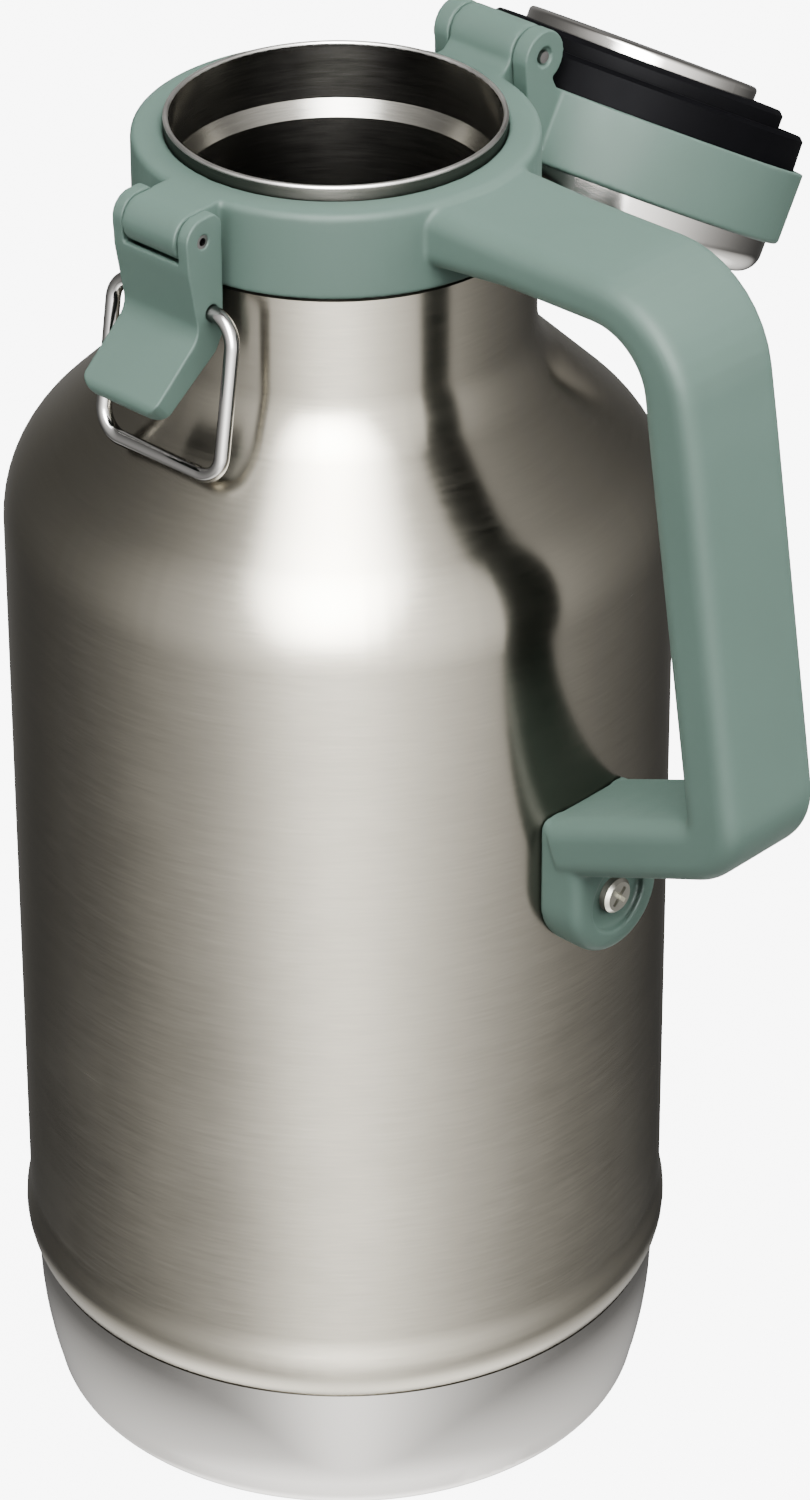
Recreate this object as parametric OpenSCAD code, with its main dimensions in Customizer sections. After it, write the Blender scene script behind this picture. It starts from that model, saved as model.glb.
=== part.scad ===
// Vacuum-insulated steel growler with a hinged lid, a lever latch and a carrying handle.
// Origin: centre of the base where it rests. +Z up, handle on +X, latch on -Y, lid hinge on +Y.
// Rest position: lid swung fully open, latch lever down, wire bail hanging.

/* [Vessel] */
// Outside diameter of the body wall
body_d = 124; // [122:0.5:128]
// Height at which the straight body wall ends and the shoulder begins
wall_top = 188.8; // [184:0.2:190]
// Outside diameter of the neck under the collar
neck_d = 72.5; // [72:0.1:73]
// Radius of the convex shoulder
shoulder_r = 24.3; // [22:0.1:28]
// Angle that the shoulder turns through before its straight cone
shoulder_turn = 45.5; // [44:0.5:48]
// Radius of the concave blend from the cone into the neck
neck_blend_r = 15.4; // [12:0.2:17]
// Thickness of the steel sheet
sheet = 0.8; // [0.6:0.1:1]
// Vacuum gap between the outer shell and the liner
vacuum_gap = 3.6; // [3:0.2:5]

/* [Mouth and collar] */
// Inside diameter of the mouth above its sealing ledge
mouth_d = 59.8; // [59.6:0.1:60]
// Inside diameter of the throat below the ledge
throat_d = 56.4; // [55:0.2:57]
// Height of the steel lip
lip_z = 269.2; // [269:0.1:269.4]
// Outside diameter of the moulded collar
collar_d = 73.5; // [73:0.1:74]
// Height of the bottom edge of the collar
collar_bottom = 250.1; // [249.8:0.1:250.4]
// Height of the top face of the collar
collar_top = 266.6; // [266.4:0.1:266.7]

/* [Base] */
// Height of the seam between the shell and the base cup
seam_z = 30; // [28:0.5:32]
// Outside diameter at the seam
seam_d = 121.4; // [121:0.2:121.8]

/* [Handle] */
// Width of the handle across the grip
grip_w = 24; // [22:0.5:26]
// Thickness of the handle at the grip
grip_t = 12.2; // [11:0.2:13]
// Width of the upper arm next to the collar
arm_w = 26.5; // [26:0.5:29]
// Thickness of the upper arm
arm_t = 9.4; // [9:0.2:11]

/* [Lid] */
// Angle between the closed lid and its open stop
lid_open = 210.3; // [205:0.1:210.5]
// Height of the moulded lid band
band_h = 14; // [13.6:0.1:14.4]
// Height of the steel cap above the band
cap_h = 7.3; // [6.5:0.1:7.5]

/* [Latch] */
// Width of the latch lever
lever_w = 18.6; // [18.4:0.1:19.2]
// Diameter of the bail wire
wire_d = 2.8; // [2.6:0.1:2.9]
// Distance between the centres of the two bail legs
bail_w = 29.6; // [29.4:0.2:31]

/* [Hidden] */

smooth = 96;
steel = "#A69F95";
polished = "#D5D3CF";
green = "#82998F";
black = "#141516";
silicone = "#1D1E20";
foam = "#E8DFC0";

// Vessel radii and levels
body_r = body_d / 2;
neck_r = neck_d / 2;
mouth_r = mouth_d / 2;
throat_r = throat_d / 2;
rim_sheet = 0.45;
lip_r = mouth_r + 2 * rim_sheet;
lip_skirt_z = lip_z - 3;
ledge_top = 258;
ledge_bottom = 254.9;
neck_seat_z = collar_bottom - 0.5;
liner_r = body_r - sheet - vacuum_gap - sheet;
liner_blend_r = 14;
liner_floor = 20;
liner_seam = 34;
liner_corner = 9;

// Base levels and radii
seam_r = seam_d / 2;
seam_gap = 0.6;
pan_r = seam_r - 0.6;
pan_wall_r = pan_r - 0.6;
pan_corner = 6;
pan_floor = 13;
pan_top = seam_z + 3;
bead_r = 12.2;
bead_z = seam_z + 7;
bead_x = seam_r + 2.2 - bead_r;
bead_blend_r = 16;
cup_wall_r = 90;
cup_corner_r = 4;
cup_straight_z = seam_z - 3;

// Collar
collar_r = collar_d / 2;
collar_bore_r = lip_r + 0.05;
collar_edge_r = 1.3;

// Lid hinge
hinge_y = 42.8;
hinge_z = 268.9;
knuckle_r = 5.1;
barrel_half = 7.6;
ear_in = 7.9;
ear_out = 11.5;
hinge_pin_r = 1.2;
pin_sink_r = 2;
pin_sink = 0.6;
running_gap = 0.05;

// Lid, given in its closed position
lid_r = 36.4;
tier_z = 266.9;
tier_top_r = 34.5;
tier_low_r = 34.2;
band_z = tier_z + 6.5;
band_top = band_z + band_h;
cap_r = 34.2;
cap_top = band_top + cap_h;
cap_edge_r = 4.5;
cap_sheet = 0.6;
web_z = 279;
web_top = 281.5;
web_r = 24;
boss_r = 28;
plug_r = 29;
plug_z = 263.6;
groove_r = 31.5;
seat_z = 269.5;
plate_z = 270.5;
plate_top = 273;
disc_r = 22.8;
disc_z = 261.1;

// Latch
latch_y = -42.9;
latch_z = 261.9;
latch_pin_r = 1.3;
latch_knuckle_half = 6.5;
latch_knuckle_r = 4.4;
ear_gap_in = 6.8;
bail_y = -41.1;
bail_z = 247.6;
wire_r = wire_d / 2;
bail_len = 30.3;
bail_lean = 8.5;
bail_bend = 5;
tab_tip = [53.5, 233];
tab_tip_r = 2.1;
tab_angle = 41.7;

// Foot of the handle
foot_z = 134.2;
foot_r = 11.5;
foot_x = 70.2;
recess_r = 7;
recess_x = 68.4;
screw_head_r = 3.45;
screw_r = 2.0;
boss_bore_r = 4.6;
boss_x = 67;

// Handle centreline in the X-Z plane: collar, upper corner, lower corner, foot
handle_path = [[33.5, 259.8], [52, 260.5], [86, 260.8], [101, 161.6], [64, 146.4]];
upper_bend = 16.5;
lower_bend = 7.5;
root_flare = 2.4;
foot_taper = 0.5;

module rev() { rotate_extrude($fn = smooth) children(); }

module place_axis_x(y, z) { translate([0, y, z]) rotate([0, 90, 0]) children(); }

module rod_x(y, z, r, x0, x1) {
    place_axis_x(y, z) translate([0, 0, x0]) cylinder(r = r, h = x1 - x0, $fn = 48);
}

// Swings a part of the lid from its closed place to the open stop
module lid_swing() {
    translate([0, hinge_y, hinge_z]) rotate([-lid_open, 0, 0]) translate([0, -hinge_y, -hinge_z])
        children();
}

// Draws a Y-Z outline, given as [outward distance, height], as a slab centred on X = 0
module latch_slab(width) {
    rotate([90, 0, -90]) translate([0, 0, -width / 2]) linear_extrude(width) children();
}

// ---------- Vessel ----------

// Half outline of a bottle: wall, convex shoulder, cone, concave blend and neck
module bottle_half(wall_r, arc_r, blend_r, throat, bottom, top) {
    t1_r = wall_r - arc_r * (1 - cos(shoulder_turn));
    t1_z = wall_top + arc_r * sin(shoulder_turn);
    t2_r = throat + blend_r * (1 - cos(shoulder_turn));
    cone = (t1_r - t2_r) / sin(shoulder_turn);
    t2_z = t1_z + cone * cos(shoulder_turn);
    blend_z = t2_z + blend_r * sin(shoulder_turn);
    difference() {
        union() {
            polygon([[0, bottom], [wall_r, bottom], [wall_r, wall_top], [t1_r, t1_z], [t2_r, t2_z],
                     [throat, blend_z], [throat, top], [0, top]]);
            intersection() {
                translate([wall_r - arc_r, wall_top]) circle(r = arc_r, $fn = smooth);
                translate([t1_r / 2, bottom]) square([wall_r, top - bottom]);
            }
        }
        translate([throat + blend_r, blend_z]) circle(r = blend_r, $fn = smooth);
    }
}

// Half outline of the rounded bead that closes the shell above the seam, eased into the wall
module bead_half(inset) {
    away = body_r + bead_blend_r - bead_x;
    reach = bead_r + bead_blend_r;
    rise = sqrt(pow(reach, 2) - pow(away, 2));
    touch = [bead_x + away * bead_r / reach, bead_z + rise * bead_r / reach];
    intersection() {
        difference() {
            union() {
                translate([bead_x, bead_z]) circle(r = bead_r - inset, $fn = smooth);
                polygon([[bead_x, bead_z], touch, [body_r, bead_z + rise], [bead_x, bead_z + rise]]);
            }
            translate([body_r + bead_blend_r, bead_z + rise])
                circle(r = bead_blend_r + inset, $fn = smooth);
        }
        translate([0, seam_z + seam_gap / 2]) square([body_r + 3, bead_z * 2]);
    }
}

module outer_shell() {
    skirt = seam_z + seam_gap / 2;
    color(steel) rev() difference() {
        union() {
            bottle_half(body_r, shoulder_r, neck_blend_r, neck_r, bead_z, neck_seat_z);
            bead_half(0);
            translate([0, skirt]) square([seam_r, bead_z - skirt]);
            translate([0, neck_seat_z - 2]) square([lip_r, lip_skirt_z - neck_seat_z + 2]);
        }
        bottle_half(body_r - sheet, shoulder_r - sheet, neck_blend_r + sheet, neck_r - sheet,
                    bead_z, neck_seat_z - sheet);
        difference() {
            bead_half(sheet);
            translate([pan_r, 0]) square([5, pan_top]);
        }
        translate([0, skirt - 1]) square([pan_r, bead_z - skirt + 2]);
        translate([0, neck_seat_z - 3]) square([lip_r - rim_sheet, 30]);
    }
}

module inner_liner() {
    arc_r = shoulder_r - (body_r - liner_r);
    color(polished) rev() difference() {
        union() {
            bottle_half(liner_r + sheet, arc_r + sheet, liner_blend_r - sheet, throat_r + sheet,
                        liner_seam, ledge_bottom);
            polygon([[0, ledge_bottom - 1], [throat_r + sheet, ledge_bottom - 1],
                     [throat_r + sheet, ledge_bottom], [mouth_r + rim_sheet, ledge_top - 0.8],
                     [mouth_r + rim_sheet, lip_skirt_z], [0, lip_skirt_z]]);
            translate([0, lip_skirt_z]) square([lip_r, lip_z - lip_skirt_z - rim_sheet]);
            translate([lip_r - rim_sheet, lip_z - rim_sheet]) circle(r = rim_sheet, $fn = 32);
        }
        bottle_half(liner_r, arc_r, liner_blend_r, throat_r, liner_seam - 1, ledge_bottom);
        polygon([[0, ledge_bottom - 0.1], [throat_r, ledge_bottom - 0.1], [throat_r, ledge_bottom],
                 [mouth_r, ledge_top], [mouth_r, lip_z + 1], [0, lip_z + 1]]);
    }
}

// Half outline of a round pan with a filleted floor
module pan_half(radius, corner, floor_z, top) {
    union() {
        translate([0, floor_z]) square([radius - corner, corner]);
        translate([radius - corner, floor_z + corner]) circle(r = corner, $fn = smooth);
        translate([0, floor_z + corner]) square([radius, top - floor_z - corner]);
    }
}

module liner_bottom() {
    color(polished) rev() intersection() {
        square([body_r, liner_seam]);
        difference() {
            pan_half(liner_r + sheet, liner_corner + sheet, liner_floor - sheet, liner_seam);
            pan_half(liner_r, liner_corner, liner_floor, liner_seam + 1);
        }
    }
}

module outer_bottom() {
    hole_r = 1.2;
    color(steel) rev() intersection() {
        square([body_r, pan_top]);
        difference() {
            union() {
                pan_half(pan_wall_r, pan_corner, pan_floor, pan_top);
                translate([50, cup_straight_z]) square([pan_r - 50, pan_top - cup_straight_z]);
            }
            pan_half(pan_wall_r - sheet, pan_corner - sheet, pan_floor + sheet, pan_top + 1);
            square([hole_r, pan_floor + 2]);
        }
    }
}

module vacuum_seal() {
    color(polished) {
        translate([0, 0, pan_floor - 1.4]) cylinder(r = 4, h = 1.4, $fn = 48);
        translate([0, 0, pan_floor - 0.5]) cylinder(r = 1.2, h = 0.5 + sheet, $fn = 48);
    }
}

module getter() {
    getter_h = 2.6;
    color(steel) translate([20, 0, liner_floor - sheet - getter_h])
        cylinder(r = 6, h = getter_h, $fn = 48);
}

// Half outline of the base cup: flat floor, tight corner, gently bulged wall
module cup_half(inset, bottom, top) {
    wall_x = seam_r - cup_wall_r;
    rise = cup_straight_z - cup_corner_r;
    corner_x = wall_x + sqrt(pow(cup_wall_r - cup_corner_r, 2) - pow(rise, 2)) + 0.05;
    reach = (cup_wall_r - inset) / (cup_wall_r - cup_corner_r);
    meet_z = cup_straight_z - rise * reach;
    union() {
        translate([0, bottom]) square([corner_x, cup_corner_r - bottom]);
        translate([corner_x, cup_corner_r]) circle(r = cup_corner_r - inset, $fn = 48);
        intersection() {
            translate([wall_x, cup_straight_z]) circle(r = cup_wall_r - inset, $fn = smooth);
            translate([0, meet_z]) square([body_r, cup_straight_z - meet_z + 1]);
        }
        translate([0, cup_straight_z]) square([seam_r - inset, top - cup_straight_z]);
    }
}

module base_cup() {
    cup_sheet = 0.6;
    rim = seam_z - seam_gap / 2;
    color(polished) rev() intersection() {
        square([body_r, rim]);
        difference() {
            cup_half(0, 0, rim);
            cup_half(cup_sheet, cup_sheet, rim + 1);
        }
    }
}

// ---------- Collar, handle and their fixings ----------

function unit(v) = v / norm(v);
function wrapped(a) = a > 180 ? a - 360 : (a < -180 ? a + 360 : a);

// Points along the arc of radius r that rounds the corner b of the path a, b, c
function bend(a, b, c, r, n) =
    let (u = unit(a - b), v = unit(c - b), half = acos(u * v) / 2,
         centre = b + unit(u + v) * r / sin(half),
         start = b + u * r / tan(half) - centre, finish = b + v * r / tan(half) - centre,
         from = atan2(start[1], start[0]),
         turn = wrapped(atan2(finish[1], finish[0]) - from))
    [for (i = [0:n]) centre + r * [cos(from + turn * i / n), sin(from + turn * i / n)]];

function between(a, b, n) = [for (i = [1:n - 1]) a + (b - a) * i / n];

handle_line = let (p = handle_path,
                   top = bend(p[1], p[2], p[3], upper_bend, 9),
                   low = bend(p[2], p[3], p[4], lower_bend, 9),
                   start = bend(p[0], p[1], p[2], 60, 3))
    concat([p[0]], start, between(start[3], top[0], 3), top, between(top[9], low[0], 8), low,
           between(low[9], p[4], 3), [p[4]]);

// How far along the line each point lies, from 0 to 1
function run(line, i) = i == 0 ? 0 : norm(line[i] - line[i - 1]) + run(line, i - 1);
handle_len = run(handle_line, len(handle_line) - 1);

function ease(t) = let (k = max(0, min(1, t))) k * k * (3 - 2 * k);
function handle_w(s) = arm_w + (grip_w - arm_w) * ease((s - 0.18) / 0.22);
function handle_t(s) = arm_t + root_flare * (1 - ease(s / 0.1)) + (grip_t - arm_t) * ease((s - 0.2) / 0.2)
                       - foot_taper * ease((s - 0.76) / 0.1);

// One rounded rectangular ring across the handle: width along Y, thickness along the normal
function ring(p, normal, w, t, r) =
    [for (q = [0:3]) for (k = [0:5])
        let (a = q * 90 + k * 18,
             sy = (q == 0 || q == 3) ? 1 : -1, sn = q < 2 ? 1 : -1,
             y = sy * (w / 2 - r) + r * cos(a), n = sn * (t / 2 - r) + r * sin(a))
        [p[0] + normal[0] * n, y, p[1] + normal[1] * n]];

module handle_bar() {
    last = len(handle_line) - 1;
    edge_r = 3.6;
    side = 24;
    rings = [for (i = [0:last])
        let (ahead = handle_line[min(last, i + 1)], back = handle_line[max(0, i - 1)],
             d = unit(ahead - back), s = run(handle_line, i) / handle_len)
        each ring(handle_line[i], [-d[1], d[0]], handle_w(s), handle_t(s), edge_r)];
    walls = [for (i = [0:last - 1]) for (k = [0:side - 1])
        let (a = i * side + k, b = i * side + (k + 1) % side)
        each [[a, b + side, b], [a, a + side, b + side]]];
    polyhedron(points = rings,
               faces = concat(walls, [[for (k = [0:side - 1]) k]],
                              [[for (k = [side - 1:-1:0]) last * side + k]]),
               convexity = 6);
}

// Rounded pad under the lower arm, which hugs the body wall
module foot_pad() {
    edge = 2.5;
    hull() {
        translate([body_r - 4, 0, foot_z]) rotate([0, 90, 0])
            cylinder(r = foot_r, h = foot_x - body_r + 4 - edge, $fn = 48);
        translate([foot_x - edge, 0, foot_z]) rotate([0, 90, 0])
            rotate_extrude($fn = 48) translate([foot_r - edge, 0]) circle(r = edge, $fn = 20);
        for (side = [-1, 1]) {
            translate([body_r - 4, side * (foot_r - edge), 149.5]) rotate([0, 90, 0])
                cylinder(r = edge, h = foot_x - body_r + 4 - edge, $fn = 24);
            translate([foot_x - edge, side * (foot_r - edge), 149.5]) sphere(r = edge, $fn = 24);
        }
    }
}

module collar_ring() {
    rev() difference() {
        union() {
            translate([collar_bore_r, collar_bottom])
                square([collar_r - collar_bore_r, collar_top - collar_bottom - collar_edge_r]);
            translate([collar_bore_r, collar_bottom])
                square([collar_r - collar_bore_r - collar_edge_r, collar_top - collar_bottom]);
            translate([collar_r - collar_edge_r, collar_top - collar_edge_r])
                circle(r = collar_edge_r, $fn = 32);
        }
        translate([0, collar_bottom - 1]) square([collar_bore_r, 30]);
    }
}

// Barrel between the lid's ears, with the web that joins it to the collar
module hinge_barrel() {
    rod_x(hinge_y, hinge_z, knuckle_r, -barrel_half, barrel_half);
    translate([-barrel_half, 0, 0]) rotate([90, 0, 90]) linear_extrude(2 * barrel_half)
        polygon([[33.5, 257], [37, 257], [42.6, 261.9], [46.6, 265.5], [hinge_y, hinge_z],
                 [39.5, 272.8], [37.6, 268.4], [36.4, 267.2], [33.5, collar_top - 0.01]]);
}

// Knuckle for the latch: level with the collar's top face and round in front
module latch_knuckle() {
    rod_x(latch_y, latch_z, latch_knuckle_r, -latch_knuckle_half, latch_knuckle_half);
    latch_slab(2 * latch_knuckle_half)
        polygon([[33.5, 255], [36.6, 255], [-latch_y, latch_z - latch_knuckle_r],
                 [-latch_y, latch_z + latch_knuckle_r], [41.5, collar_top - 0.3],
                 [36, collar_top - 0.01], [33.5, collar_top - 0.01]]);
}

module collar_handle() {
    color(green) difference() {
        union() {
            collar_ring();
            handle_bar();
            foot_pad();
            hinge_barrel();
            latch_knuckle();
        }
        cylinder(r = collar_bore_r, h = 300, $fn = smooth);
        translate([0, 0, 100]) cylinder(r = body_r, h = 80, $fn = smooth);
        rod_x(hinge_y, hinge_z, hinge_pin_r + running_gap, -20, 20);
        rod_x(latch_y, latch_z, latch_pin_r + running_gap, -20, 20);
        translate([body_r - 1, 0, foot_z]) rotate([0, 90, 0])
            cylinder(r = boss_bore_r, h = boss_x - body_r + 1.2, $fn = 48);
        translate([body_r - 1, 0, foot_z]) rotate([0, 90, 0]) cylinder(r = screw_r + 0.2, h = 20, $fn = 48);
        translate([recess_x, 0, foot_z]) rotate([0, 90, 0]) cylinder(r = recess_r, h = 2.2, $fn = 48);
    }
}

module handle_boss() {
    color(steel) difference() {
        translate([body_r - 1, 0, foot_z]) rotate([0, 90, 0])
            cylinder(r = boss_bore_r - 0.1, h = boss_x - body_r + 1, $fn = 48);
        cylinder(r = body_r, h = 200, $fn = smooth);
        translate([body_r + 0.9, 0, foot_z]) rotate([0, 90, 0]) cylinder(r = screw_r, h = 9, $fn = 48);
    }
}

module handle_screw() {
    head_h = 1.9;
    chamfer = 0.6;
    slot_w = 0.9;
    color(polished) translate([recess_x, 0, foot_z]) rotate([0, 90, 0]) difference() {
        union() {
            cylinder(r = screw_head_r, h = head_h - chamfer, $fn = 48);
            translate([0, 0, head_h - chamfer])
                cylinder(r1 = screw_head_r, r2 = screw_head_r - chamfer, h = chamfer, $fn = 48);
            translate([0, 0, -5]) cylinder(r = screw_r, h = 5.01, $fn = 48);
        }
        for (turn = [45, 135]) rotate([0, 0, turn])
            translate([-2.1, -slot_w / 2, head_h - 1.3]) cube([4.2, slot_w, 2]);
    }
}

// ---------- Lid, drawn closed and then swung open ----------

module lid_ears() {
    for (side = [-1, 1])
        translate([side > 0 ? ear_in : -ear_out, 0, 0]) rotate([90, 0, 90]) linear_extrude(ear_out - ear_in)
            union() {
                translate([hinge_y, hinge_z]) circle(r = knuckle_r, $fn = smooth);
                polygon([[33.9, band_z], [36.2, band_z], [hinge_y - 4.2, hinge_z + 2.9], [hinge_y, hinge_z],
                         [hinge_y + 4.6, hinge_z + 2.2], [36.9, band_top - 0.6], [33.9, band_top - 0.6]]);
            }
}

// Catch that the bail hooks over: a ledge with an upturned lip
module bail_catch() {
    catch_w = 20;
    latch_slab(catch_w)
        polygon([[34.8, 273.6], [41, 273.5], [43.9, 275], [43.9, 278.8], [42.4, 279.4], [42, 276.1],
                 [38.2, 276], [36.8, 277.6], [34.8, 278]]);
}

module lid_band() {
    edge = 0.8;
    color(green) lid_swing() difference() {
        union() {
            rev() difference() {
                union() {
                    translate([web_r, web_z]) square([lid_r - web_r - 1, web_top - web_z]);
                    translate([30, band_z]) square([lid_r - 30, band_h - edge]);
                    translate([30, band_top - edge]) square([lid_r - 30 - edge, edge]);
                    translate([lid_r - edge, band_top - edge]) circle(r = edge, $fn = 32);
                }
                translate([0, web_top]) square([cap_r, 20]);
                translate([0, band_z - 1]) square([tier_top_r, web_z - band_z + 1]);
            }
            for (turn = [45:90:315]) rotate([0, 0, turn]) translate([boss_r, 0, plate_top])
                cylinder(r = 2.8, h = web_top - plate_top, $fn = 32);
            lid_ears();
            bail_catch();
        }
        rod_x(hinge_y, hinge_z, hinge_pin_r, -20, 20);
        // countersinks round the ends of the hinge pin
        for (side = [-1, 1])
            rod_x(hinge_y, hinge_z, pin_sink_r, side > 0 ? ear_out - pin_sink : -20,
                  side > 0 ? 20 : pin_sink - ear_out);
        for (turn = [45:90:315]) rotate([0, 0, turn]) translate([boss_r, 0, plate_top - 1])
            cylinder(r = 1.25, h = 7, $fn = 32);
    }
}

module cap_half(inset, top) {
    union() {
        translate([0, web_top]) square([cap_r - inset, top - web_top - cap_edge_r + inset]);
        translate([0, web_top]) square([cap_r - cap_edge_r, top - web_top]);
        translate([cap_r - cap_edge_r, top - cap_edge_r + inset]) circle(r = cap_edge_r - inset, $fn = 64);
    }
}

module lid_cap() {
    color(polished) lid_swing() rev() intersection() {
        translate([0, web_top]) square([lid_r, 30]);
        difference() {
            cap_half(0, cap_top);
            translate([0, -cap_sheet]) cap_half(cap_sheet, cap_top);
        }
    }
}

module lid_insulation() {
    color(foam) lid_swing() translate([0, 0, plate_top])
        cylinder(r = web_r - 0.2, h = cap_top - cap_sheet - plate_top, $fn = smooth);
}

module lid_screws() {
    color(polished) lid_swing() for (turn = [45:90:315]) rotate([0, 0, turn]) translate([boss_r, 0, 0]) {
        translate([0, 0, plate_z]) cylinder(r = 2.5, h = 1.4, $fn = 32);
        translate([0, 0, plate_z + 1]) cylinder(r = 1.25, h = 7.5, $fn = 32);
    }
}

module stopper_body() {
    edge = 0.8;
    color(black) lid_swing() difference() {
        rev() union() {
            polygon([[groove_r, tier_z], [tier_low_r - edge, tier_z], [tier_low_r, tier_z + edge],
                     [tier_top_r - 0.1, band_z], [tier_top_r, band_z], [tier_top_r, web_z],
                     [tier_top_r - 2.5, web_z], [tier_top_r - 2.5, plate_top], [groove_r, plate_top]]);
            translate([0, plate_z]) square([groove_r, plate_top - plate_z]);
            translate([0, plug_z]) square([21, plate_z - plug_z]);
        }
        for (turn = [45:90:315]) rotate([0, 0, turn]) translate([boss_r, 0, plate_z - 0.01]) {
            cylinder(r = 2.5, h = 1.41, $fn = 32);
            cylinder(r = 1.25, h = 5, $fn = 32);
        }
        translate([0, 0, plug_z - 1]) cylinder(r = 2.5, h = 5, $fn = 32);
    }
}

module stopper_seal() {
    edge = 0.9;
    color(silicone) lid_swing() rev()
        polygon([[21, plug_z], [plug_r - edge, plug_z], [plug_r, plug_z + edge], [plug_r, seat_z],
                 [groove_r, seat_z], [groove_r, plate_z], [21, plate_z]]);
}

module stopper_disc() {
    edge = 0.9;
    color(polished) lid_swing() {
        rev() union() {
            translate([0, disc_z + edge]) square([disc_r, plug_z - disc_z - edge]);
            translate([0, disc_z]) square([disc_r - edge, edge + 0.1]);
            translate([disc_r - edge, disc_z + edge]) circle(r = edge, $fn = 32);
        }
        translate([0, 0, plug_z - 0.1]) cylinder(r = 2.5, h = 3.6, $fn = 32);
    }
}

module hinge_pin() {
    pin_half = ear_out - pin_sink + 0.1;
    dome = 0.4;
    color(polished) {
        rod_x(hinge_y, hinge_z, hinge_pin_r, -pin_half, pin_half);
        for (side = [-1, 1]) translate([side * pin_half, hinge_y, hinge_z]) intersection() {
            sphere(r = hinge_pin_r, $fn = 48);
            translate([side > 0 ? -0.01 : -dome, -5, -5]) cube([dome + 0.01, 10, 10]);
        }
    }
}

// ---------- Latch ----------

// Outline through a list of [outward, height, corner radius], each corner rounded by its arc
function rounded(c, n) = let (last = len(c) - 1) [
    for (i = [0:last])
        let (a = c[i == 0 ? last : i - 1], b = c[i], d = c[i == last ? 0 : i + 1])
        each bend([a[0], a[1]], [b[0], b[1]], [d[0], d[1]], b[2], n)];

// Side outline of the lever: eared head, slim shank, kicked-out thumb tab
lever_corners = [[38.4, 264.8, 0.7], [40.1, 266.4, 0.9], [47.2, 266.2, 4.2], [46.6, 256.6, 8],
                 [44.2, 244.1, 4.5], [56.46, 233.17, 2.05], [53.67, 230.04, 2.05], [40.2, 239.7, 2.4],
                 [38.5, 242.6, 1.4], [38.2, 250, 6]];

// Opening between the two ears, where the collar's knuckle sits
window_corners = [[30, 254.6, 0.5], [42.5, 254.6, 3], [45.6, 257.9, 0.5], [49.4, 257.9, 0.5],
                  [49.4, 270, 0.5], [30, 270, 0.5]];

// Cuts one corner off the end of the thumb tab, leaving it round
module tab_corner_cut(side) {
    corner = 3;
    edge = lever_w / 2;
    translate([0, -tab_tip[0], tab_tip[1]]) rotate([tab_angle, 0, 0]) difference() {
        translate([side > 0 ? edge - corner : -edge - 1, -tab_tip_r - 1, -12])
            cube([corner + 1, corner + 1, 24]);
        translate([side * (edge - corner), corner - tab_tip_r, -13]) cylinder(r = corner, h = 26, $fn = 48);
    }
}

module latch_lever() {
    color(green) difference() {
        latch_slab(lever_w) polygon(rounded(lever_corners, 7));
        latch_slab(2 * ear_gap_in) polygon(rounded(window_corners, 4));
        for (side = [-1, 1]) tab_corner_cut(side);
        rod_x(latch_y, latch_z, latch_pin_r, -20, 20);
        rod_x(bail_y, bail_z, wire_r + running_gap, -20, 20);
    }
}

module latch_pin() {
    color(polished) difference() {
        rod_x(latch_y, latch_z, latch_pin_r, 0.2 - lever_w / 2, lever_w / 2 - 0.2);
        rod_x(latch_y, latch_z, 0.75, -20, 20);
    }
}

// Wire bail, drawn hanging: two short ends in the lever, two legs and a cross bar
module latch_bail() {
    half = bail_w / 2;
    stub = half - bail_bend;
    color(polished) translate([0, bail_y, bail_z]) rotate([-bail_lean, 0, 0]) {
        for (side = [-1, 1]) {
            rod_x(0, 0, wire_r, side > 0 ? 7.6 : -stub, side > 0 ? stub : -7.6);
            translate([side * half, 0, -bail_len + bail_bend])
                cylinder(r = wire_r, h = bail_len - 2 * bail_bend, $fn = 48);
            translate([side * stub, 0, -bail_bend]) rotate([90, 0, 0])
                rotate([0, 0, side > 0 ? 0 : 90]) rotate_extrude(angle = 90, $fn = smooth)
                    translate([bail_bend, 0]) circle(r = wire_r, $fn = 32);
            translate([side * stub, 0, -bail_len + bail_bend]) rotate([90, 0, 0])
                rotate([0, 0, side > 0 ? -90 : 180]) rotate_extrude(angle = 90, $fn = smooth)
                    translate([bail_bend, 0]) circle(r = wire_r, $fn = 32);
        }
        rod_x(0, -bail_len, wire_r, -stub, stub);
    }
}

outer_shell();
inner_liner();
liner_bottom();
outer_bottom();
vacuum_seal();
getter();
base_cup();
handle_boss();
collar_handle();
handle_screw();
lid_band();
lid_cap();
lid_insulation();
lid_screws();
stopper_body();
stopper_seal();
stopper_disc();
hinge_pin();
latch_lever();
latch_pin();
latch_bail();
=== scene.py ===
"""A steel growler with its lid swung open: materials, fine detail, light and camera round the
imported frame."""
import math

import bpy
from mathutils import Matrix, Vector


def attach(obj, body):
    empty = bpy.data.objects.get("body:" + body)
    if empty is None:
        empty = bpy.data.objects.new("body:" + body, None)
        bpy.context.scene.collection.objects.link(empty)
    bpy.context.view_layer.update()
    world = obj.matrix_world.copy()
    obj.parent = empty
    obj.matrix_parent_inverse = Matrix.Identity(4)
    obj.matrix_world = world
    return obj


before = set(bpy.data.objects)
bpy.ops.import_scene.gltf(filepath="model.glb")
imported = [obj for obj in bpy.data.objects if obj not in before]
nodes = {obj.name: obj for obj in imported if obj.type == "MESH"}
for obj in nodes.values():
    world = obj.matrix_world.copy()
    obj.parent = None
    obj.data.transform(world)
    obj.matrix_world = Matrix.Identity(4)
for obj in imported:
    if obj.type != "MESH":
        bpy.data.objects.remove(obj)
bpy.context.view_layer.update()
MM = 0.001

# ---------------------------------------------------------------- camera

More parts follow.
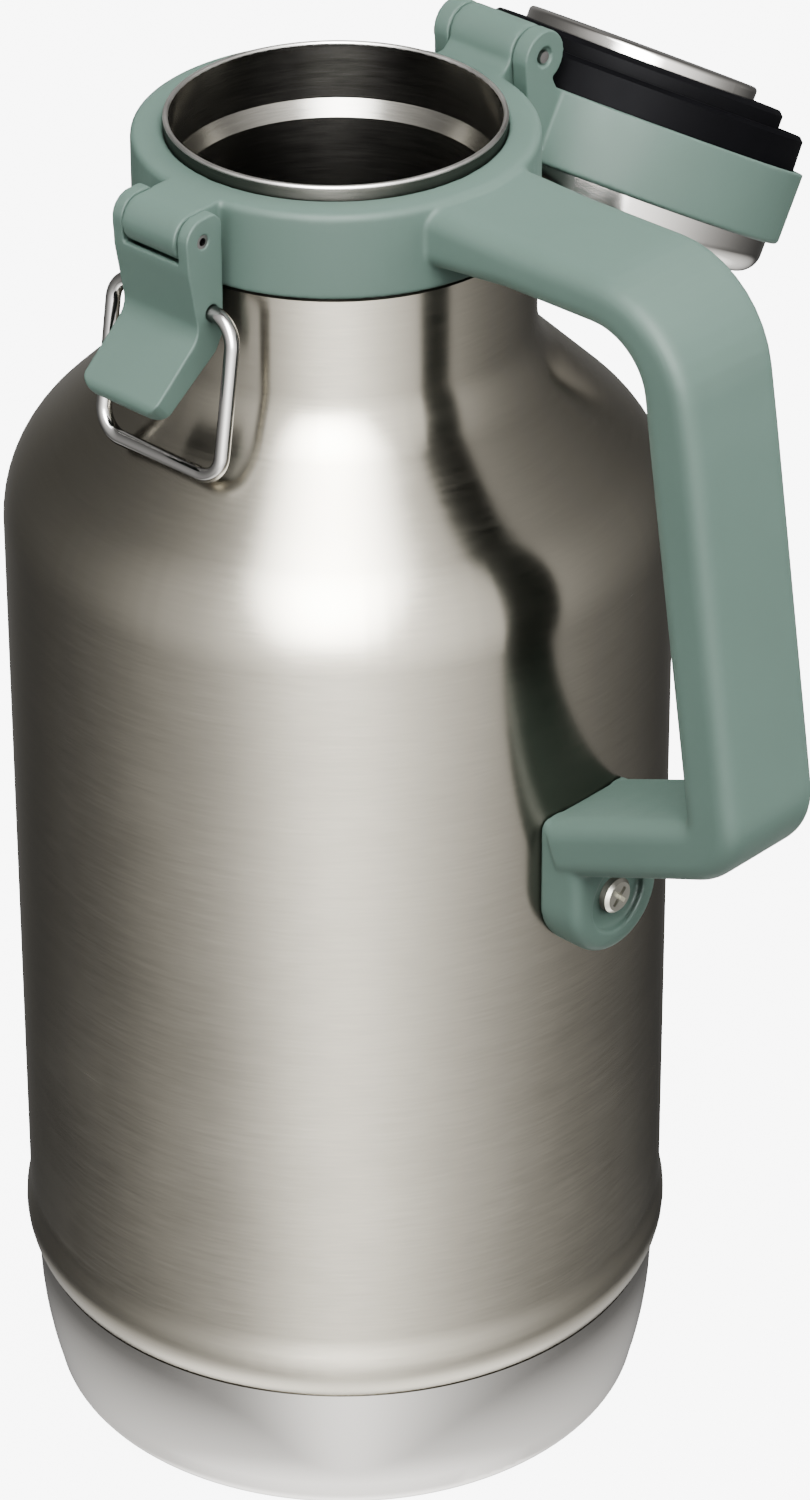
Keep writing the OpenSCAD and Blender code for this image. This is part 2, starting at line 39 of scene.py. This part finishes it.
VIEW_AZIMUTH = 44.0         # degrees from the latch side round towards the handle
VIEW_DISTANCE = 963.5 * MM  # horizontal distance from the vessel's axis
VIEW_HEIGHT = 718.7 * MM
VIEW_PITCH = 0.5436         # radians below the horizon
VIEW_YAW = 0.0125
VIEW_ROLL = -0.0024
LENS = 142.69               # in mm
SENSOR = 36.0               # in mm, along the tall side
VIEW_NEAR, VIEW_FAR = 0.05, 100.0


def add_camera():
    data = bpy.data.cameras.new("camera")
    data.lens = LENS
    data.sensor_width = SENSOR
    data.clip_start = VIEW_NEAR
    data.clip_end = VIEW_FAR
    camera = bpy.data.objects.new("camera", data)
    forward = Vector((math.sin(VIEW_YAW) * math.cos(VIEW_PITCH),
                      math.cos(VIEW_YAW) * math.cos(VIEW_PITCH), -math.sin(VIEW_PITCH)))
    level = Vector((math.cos(VIEW_YAW), -math.sin(VIEW_YAW), 0.0))
    rise = level.cross(forward)
    right = math.cos(VIEW_ROLL) * level + math.sin(VIEW_ROLL) * rise
    up = math.cos(VIEW_ROLL) * rise - math.sin(VIEW_ROLL) * level
    pose = Matrix((right, up, -forward)).transposed().to_4x4()
    pose.translation = Vector((0.0, -VIEW_DISTANCE, VIEW_HEIGHT))
    camera.matrix_world = Matrix.Rotation(math.radians(VIEW_AZIMUTH), 4, "Z") @ pose
    bpy.context.scene.collection.objects.link(camera)
    bpy.context.scene.camera = camera


# ---------------------------------------------------------------- node helpers

NOISE_RANGE = (0.3, 0.7)    # nearly all of a noise's values lie in here


class Tree:
    """A small builder for the nodes of one material, light or world."""

    def __init__(self, owner):
        owner.use_nodes = True
        self.tree = owner.node_tree
        self.tree.nodes.clear()

    def add(self, kind, inputs=None, **settings):
        node = self.tree.nodes.new(kind)
        for key, value in settings.items():
            setattr(node, key, value)
        for key, value in (inputs or {}).items():
            if isinstance(value, bpy.types.NodeSocket):
                self.tree.links.new(value, node.inputs[key])
            else:
                node.inputs[key].default_value = value
        return node

    def math(self, operation, a, b=0.0, c=0.0):
        return self.add("ShaderNodeMath", {0: a, 1: b, 2: c}, operation=operation).outputs[0]

    def ramp(self, factor, stops, interpolation="LINEAR"):
        """A colour ramp through stops of (place, grey level or colour)."""
        node = self.add("ShaderNodeValToRGB", {"Fac": factor})
        ramp = node.color_ramp
        ramp.interpolation = interpolation
        while len(ramp.elements) < len(stops):
            ramp.elements.new(1.0)
        for element, (place, value) in zip(ramp.elements, stops):
            element.position = place
            element.color = (*(value if isinstance(value, tuple) else (value,) * 3), 1.0)
        return node.outputs["Color"]

    def noise(self, vector, scale, detail, rough):
        """Noise of scale waves a metre, or of so many along x, y and z."""
        if isinstance(scale, tuple):
            vector = self.add("ShaderNodeVectorMath", {0: vector, 1: scale},
                              operation="MULTIPLY").outputs[0]
            scale = 1.0
        node = self.add("ShaderNodeTexNoise", {"Vector": vector, "Scale": scale, "Detail": detail,
                                               "Roughness": rough})
        return node.outputs["Fac"]

    def bump(self, height, strength, distance, normal=None):
        inputs = {"Height": height, "Strength": strength, "Distance": distance}
        if normal is not None:
            inputs["Normal"] = normal
        return self.add("ShaderNodeBump", inputs).outputs["Normal"]

    def spread(self, factor, low, high, start=0.0, end=1.0):
        """Maps start..end onto low..high."""
        node = self.add("ShaderNodeMapRange", {"Value": factor, "From Min": start, "From Max": end,
                                               "To Min": low, "To Max": high})
        return node.outputs["Result"]

    def sway(self, noise, middle, swing):
        """A value that a noise moves by up to swing to either side of the middle."""
        return self.spread(noise, middle - swing, middle + swing, *NOISE_RANGE)

    def tint(self, noise, colour, tone):
        """A colour that a noise darkens and lightens by the share tone."""
        shades = [tuple(c * (1.0 + share) for c in colour) for share in (-tone, tone)]
        return self.ramp(noise, list(zip(NOISE_RANGE, shades)))

    def place(self):
        return self.add("ShaderNodeTexCoord").outputs["Object"]

    def shader(self, inputs):
        shader = self.add("ShaderNodeBsdfPrincipled", inputs)
        self.add("ShaderNodeOutputMaterial", {"Surface": shader.outputs["BSDF"]})


def new_material(name):
    material = bpy.data.materials.new(name)
    return material, Tree(material)


def dress(material, *names):
    """Gives a finish to whole CAD nodes or pieces."""
    for name in names:
        obj = nodes[name] if isinstance(name, str) else name
        obj.data.materials.clear()
        obj.data.materials.append(material)


# ---------------------------------------------------------------- materials

# level lines: waves a metre along x, y and z
FINE_LINES = (150.0, 150.0, 3200.0)
COARSE_LINES = (60.0, 60.0, 1100.0)
HAIRLINES = (500.0, 500.0, 2600.0)
FINE_SHARE = 0.6            # of the fine lines in the brushing, the rest being coarse
QUARTER_TURN = 0.25

# waves a metre of the even noises
MOTTLE = 45.0
HAZE = 90.0
WAVINESS = 30.0
DRIFT = 22.0
SPECK = 2600.0
SOFT_SHEEN = 160.0


def brushed_steel(name, colour, rough, anisotropy, grain, tone):
    """Steel brushed round the vessel: level lines in its tone, gloss and relief, and a mottled
    gloss. It mirrors more sharply along the lines than across them."""
    material, t = new_material(name)
    place = t.place()
    fine = t.noise(place, FINE_LINES, detail=2.0, rough=0.6)
    coarse = t.noise(place, COARSE_LINES, detail=3.0, rough=0.55)
    mottle = t.noise(place, MOTTLE, detail=3.0, rough=0.55)
    lines = t.math("MULTIPLY_ADD", fine, FINE_SHARE,
                   t.math("MULTIPLY", coarse, 1.0 - FINE_SHARE))
    roughness = t.math("ADD", t.sway(lines, rough, 0.03), t.sway(mottle, 0.0, 0.025))
    tangent = t.add("ShaderNodeTangent", direction_type="RADIAL", axis="Z")
    t.shader({"Base Color": t.tint(lines, colour, tone), "Metallic": 1.0, "Roughness": roughness,
              "Anisotropic": anisotropy, "Anisotropic Rotation": QUARTER_TURN,
              "Tangent": tangent.outputs["Tangent"],
              "Normal": t.bump(lines, strength=grain, distance=0.03 * MM)})
    return material


def polished_steel(name, colour, rough):
    """Bright steel with a faint polishing haze, hairlines and a little waviness."""
    material, t = new_material(name)
    place = t.place()
    haze = t.noise(place, HAZE, detail=4.0, rough=0.6)
    wave = t.noise(place, WAVINESS, detail=1.0, rough=0.4)
    hairlines = t.noise(place, HAIRLINES, detail=2.0, rough=0.6)
    roughness = t.math("ADD", t.spread(haze, rough * 0.75, rough * 1.3, *NOISE_RANGE),
                       t.sway(hairlines, 0.0, 0.015))
    t.shader({"Base Color": (*colour, 1.0), "Metallic": 1.0, "Roughness": roughness,
              "Normal": t.bump(wave, strength=0.1, distance=0.6 * MM)})
    return material


def moulded_plastic(name, colour, rough, grain=0.12, gloss=0.15):
    """Moulded plastic: a fine spark-eroded grain, a slow drift of tone and an uneven sheen."""
    material, t = new_material(name)
    place = t.place()
    drift = t.noise(place, DRIFT, detail=3.0, rough=0.5)
    speck = t.noise(place, SPECK, detail=2.0, rough=0.6)
    soft = t.noise(place, SOFT_SHEEN, detail=3.0, rough=0.5)
    roughness = t.math("ADD", t.sway(soft, rough, 0.04), t.sway(speck, 0.0, 0.03))
    swell = t.bump(soft, strength=0.05, distance=0.2 * MM)
    normal = t.bump(speck, strength=grain, distance=0.04 * MM, normal=swell)
    t.shader({"Base Color": t.tint(drift, colour, 0.05), "Roughness": roughness,
              "Normal": normal, "Specular IOR Level": gloss})
    return material


def dress_frame():
    dress(brushed_steel("body_steel", (0.497, 0.467, 0.392), rough=0.22, anisotropy=0.7,
                        grain=0.008, tone=0.028),
          "outer_shell", "outer_bottom", "handle_boss")
    dress(brushed_steel("liner_steel", (0.33, 0.32, 0.29), rough=0.2, anisotropy=0.5,
                        grain=0.05, tone=0.12),
          "inner_liner", "liner_bottom")
    dress(polished_steel("polished_steel", (0.80, 0.78, 0.745), rough=0.10),
          "base_cup", "lid_cap", "stopper_disc")
    dress(polished_steel("wire_steel", (0.76, 0.75, 0.73), rough=0.13),
          "hinge_pin", "latch_pin", "latch_bail", "vacuum_seal", "getter")
    dress(polished_steel("screw_steel", (0.55, 0.54, 0.47), rough=0.36),
          "handle_screw", "lid_screws")
    dress(moulded_plastic("green_plastic", (0.180, 0.280, 0.235), rough=0.48),
          "collar_handle", "lid_band", "latch_lever")
    dress(moulded_plastic("black_plastic", (0.004, 0.004, 0.005), rough=0.55, gloss=0.03),
          "stopper_body")
    dress(moulded_plastic("black_silicone", (0.005, 0.005, 0.006), rough=0.6, gloss=0.04),
          "stopper_seal")
    dress(moulded_plastic("foam", (0.75, 0.68, 0.50), rough=0.8, grain=0.5), "lid_insulation")
    add_lip(polished_steel("lip_steel", (0.85, 0.83, 0.79), rough=0.34))


# ---------------------------------------------------------------- mouldings

# the skin's grid in mm, and its rounds of smoothing
MOULDINGS = {"collar_handle": (0.4, 7), "lid_band": (0.28, 6), "latch_lever": (0.2, 12)}


def soften():
    """Rounds every edge and inner corner of the mouldings, as a mould's own radii do."""
    for name, (grid, rounds) in MOULDINGS.items():
        remesh = nodes[name].modifiers.new("skin", "REMESH")
        remesh.mode = "VOXEL"
        remesh.voxel_size = grid * MM
        remesh.use_smooth_shade = True
        smooth = nodes[name].modifiers.new("radii", "SMOOTH")
        smooth.factor = 0.5
        smooth.iterations = rounds


# ---------------------------------------------------------------- steel details

TURNED = ("outer_shell", "base_cup", "lid_cap")
SAME_POINT = 0.001 * MM
EDGE_ANGLE = math.radians(35.0)     # a sharper bend than this stays an edge

LIP_BEAD = 0.45 * MM                # radius of the lip's edge
LIP_PROUD = 0.03 * MM               # how far the bright round stands off it
LIP_CREST = 0.02 * MM               # depth of the top of the lip, where its radius is measured
AROUND, ACROSS = 240, 24            # its faces round the vessel and round its own section


def close_seams():
    """Joins each turned surface across its seam, so that its shade runs round it unbroken."""
    for name in TURNED:
        modifiers = nodes[name].modifiers
        modifiers.new("seams", "WELD").merge_threshold = SAME_POINT
        split = modifiers.new("edges", "EDGE_SPLIT")
        split.split_angle = EDGE_ANGLE
        split.use_edge_sharp = False
        modifiers.new("shade", "WEIGHTED_NORMAL").mode = "CORNER_ANGLE"


def add_ring(name, radius, height, bead):
    """A smooth round ring of round section about the vessel's axis."""
    mesh = bpy.data.meshes.new(name)
    points, faces = [], []
    for i in range(AROUND):
        turn = 2.0 * math.pi * i / AROUND
        for j in range(ACROSS):
            roll = 2.0 * math.pi * j / ACROSS
            reach = radius + bead * math.cos(roll)
            points.append((reach * math.cos(turn), reach * math.sin(turn),
                           height + bead * math.sin(roll)))
            a, b = i * ACROSS, (i + 1) % AROUND * ACROSS
            k = (j + 1) % ACROSS
            faces.append((a + j, b + j, b + k, a + k))
    mesh.from_pydata(points, [], faces)
    mesh.polygons.foreach_set("use_smooth", [True] * len(faces))
    ring = bpy.data.objects.new(name, mesh)
    bpy.context.scene.collection.objects.link(ring)
    return ring


def add_lip(material):
    """The rolled lip's bright edge, finer than the CAD mesh."""
    liner = nodes["inner_liner"]
    points = [liner.matrix_world @ v.co for v in liner.data.vertices]
    top = max(p.z for p in points)
    crest = [p for p in points if p.z > top - LIP_CREST]
    radius = sum(math.hypot(p.x, p.y) for p in crest) / len(crest)
    lip = add_ring("lip_roll", radius, top - LIP_BEAD, LIP_BEAD + LIP_PROUD)
    dress(material, lip)
    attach(lip, "vessel")


# ---------------------------------------------------------------- studio

WHITE = 8.0                 # brightness of the sweep behind and under the vessel
FLOOR_HALF = 8.0
LIGHT_DISTANCE = 1.6
LIGHT_AIM = Vector((0.0, 0.0, 140.0 * MM))
PANEL_FADE = (2.0, 1.0)     # how fast a mirrored panel fades to its sides, and to its ends
IMAGE_SHADE = 0.25          # brightness left to the mouldings where the steel mirrors them
REPEAT_SHADE = 0.15         # brightness left in a mirror image of a mirror image
ROOM_TINT = (1.0, 0.985, 0.965, 1.0)

# brightness round the room at table height, by degrees to the camera's right
ROOM_SIDES = [(-180, 0.15), (-160, 0.09), (-140, 0.05), (-120, 0.06), (-100, 0.083), (-80, 0.149),
              (-60, 0.336), (-40, 0.525), (-20, 1.4), (0, 2.46), (20, 1.56), (40, 0.88),
              (60, 0.465), (80, 0.236), (100, 0.143), (120, 0.10), (140, 0.05), (160, 0.05),
              (180, 0.15)]
ROOM_PEAK = 2.5             # above all of those: a smooth ramp holds values up to 1 only
# how that grows from straight down (-1) through the horizon (0) to straight up (1)
ROOM_HEIGHTS = [(-1.0, 0.9), (-0.57, 1.0), (-0.46, 1.5), (-0.1, 2.0), (1.0, 2.0)]
# the white table top, seen only by steep downward mirror paths
ROOM_TABLE = [(-1.0, 3.6), (-0.9, 2.6), (-0.82, 1.25), (-0.72, 0.8), (-0.64, 0.42), (-0.60, 0.15),
              (-0.56, 0.0)]


def add_floor():
    """A pale sweep of studio floor, which lights nothing itself."""
    corners = [(x * FLOOR_HALF, y * FLOOR_HALF, 0.0)
               for x, y in ((-1, -1), (1, -1), (1, 1), (-1, 1))]
    mesh = bpy.data.meshes.new("floor")
    mesh.from_pydata(corners, [], [(0, 1, 2, 3)])
    floor = bpy.data.objects.new("floor", mesh)
    bpy.context.scene.collection.objects.link(floor)
    material, t = new_material("floor")
    t.shader({"Base Color": (0.25, 0.25, 0.25, 1.0), "Roughness": 0.9,
              "Emission Color": (1.0, 1.0, 1.0, 1.0), "Emission Strength": WHITE})
    mesh.materials.append(material)
    floor.visible_glossy = False
    floor.visible_diffuse = False


def once_mirrored(t, path):
    """The share of a light or of the room that is seen in a mirror image: it lights no matt
    surface, and little of it is left in a mirror image of a mirror image."""
    direct = t.math("LESS_THAN", path.outputs["Diffuse Depth"], 0.5)
    repeat = t.math("GREATER_THAN", path.outputs["Glossy Depth"], 1.5)
    return t.math("MULTIPLY", direct, t.spread(repeat, 1.0, REPEAT_SHADE))


def soft_edged(t, strength):
    """Fades a light from its middle to nothing at its edges."""
    across = t.add("ShaderNodeSeparateXYZ",
                   {0: t.add("ShaderNodeNewGeometry").outputs["Parametric"]})
    for side, sharpness in enumerate(PANEL_FADE):
        offset = t.math("MULTIPLY_ADD", across.outputs[side], 2.0, -1.0)
        fade = t.math("MAXIMUM", t.math("SUBTRACT", 1.0, t.math("MULTIPLY", offset, offset)), 0.0)
        strength = t.math("MULTIPLY", strength, t.math("POWER", fade, sharpness))
    return strength


def area_light(name, azimuth, elevation, width, height, power, mirrored=False):
    """A softbox aimed at the vessel, azimuth counted to the camera's right: it either lights
    matt surfaces or, when mirrored, is only seen in mirror images."""
    data = bpy.data.lights.new(name, "AREA")
    data.shape = "RECTANGLE"
    data.size = width
    data.size_y = height
    data.energy = power
    t = Tree(data)
    path = t.add("ShaderNodeLightPath")
    if mirrored:
        strength = soft_edged(t, once_mirrored(t, path))
    else:
        strength = t.spread(path.outputs["Glossy Depth"], 1.0, IMAGE_SHADE)
    glow = t.add("ShaderNodeEmission", {"Strength": strength})
    t.add("ShaderNodeOutputLight", {"Surface": glow.outputs[0]})
    light = bpy.data.objects.new(name, data)
    around = math.radians(VIEW_AZIMUTH + azimuth)
    rise = math.radians(elevation)
    away = Vector((math.sin(around) * math.cos(rise), -math.cos(around) * math.cos(rise),
                   math.sin(rise)))
    light.location = LIGHT_AIM + away * LIGHT_DISTANCE
    light.rotation_mode = "QUATERNION"
    light.rotation_quaternion = away.to_track_quat("Z", "Y")
    light.visible_glossy = mirrored
    light.visible_diffuse = not mirrored
    bpy.context.scene.collection.objects.link(light)


def along(stops, low, high, peak=1.0):
    """Stops over low..high as a ramp's own, over 0..1, with their values as shares of peak."""
    return [((place - low) / (high - low), value / peak) for place, value in stops]


def add_world():
    """A dim studio with a bright front, seen only in mirror images. The camera sees plain white
    instead."""
    world = bpy.data.worlds.new("studio")
    bpy.context.scene.world = world
    t = Tree(world)
    direction = t.add("ShaderNodeTexCoord").outputs["Generated"]
    turned = t.add("ShaderNodeVectorRotate",
                   {"Vector": direction, "Angle": math.radians(-VIEW_AZIMUTH)},
                   rotation_type="Z_AXIS").outputs["Vector"]
    parts = t.add("ShaderNodeSeparateXYZ", {"Vector": turned})
    x, y, z = parts.outputs[0], parts.outputs[1], parts.outputs[2]
    around = t.math("ARCTAN2", x, t.math("MULTIPLY", y, -1.0))
    # both over a ramp's 0..1
    turn = t.math("MULTIPLY_ADD", around, 0.5 / math.pi, 0.5)
    height = t.math("MULTIPLY_ADD", z, 0.5, 0.5)
    sides = t.ramp(turn, along(ROOM_SIDES, -180.0, 180.0, ROOM_PEAK), "B_SPLINE")
    lift = t.ramp(height, along(ROOM_HEIGHTS, -1.0, 1.0))
    table = t.ramp(height, along(ROOM_TABLE, -1.0, 1.0))
    walls = t.math("MULTIPLY", t.math("MULTIPLY", sides, lift), ROOM_PEAK)
    room = t.math("MAXIMUM", walls, table)
    path = t.add("ShaderNodeLightPath")
    strength = t.math("MULTIPLY", room, once_mirrored(t, path))
    studio = t.add("ShaderNodeBackground", {"Color": ROOM_TINT, "Strength": strength})
    plain = t.add("ShaderNodeBackground", {"Color": (1.0, 1.0, 1.0, 1.0), "Strength": WHITE})
    both = t.add("ShaderNodeMixShader", {"Fac": path.outputs["Is Camera Ray"],
                                         1: studio.outputs[0], 2: plain.outputs[0]})
    t.add("ShaderNodeOutputWorld", {"Surface": both.outputs[0]})
    world.cycles_visibility.diffuse = False


add_camera()
add_floor()
add_world()
area_light("key", 10, 60, width=1.2, height=1.0, power=30)
area_light("left", -46, 20, width=1.2, height=1.2, power=11)
area_light("right", 75, 20, width=1.2, height=1.2, power=13)
area_light("back", 142, 35, width=1.2, height=1.2, power=14)
area_light("panel", -4, 35, width=1.6, height=2.7, power=410, mirrored=True)
soften()
close_seams()
dress_frame()
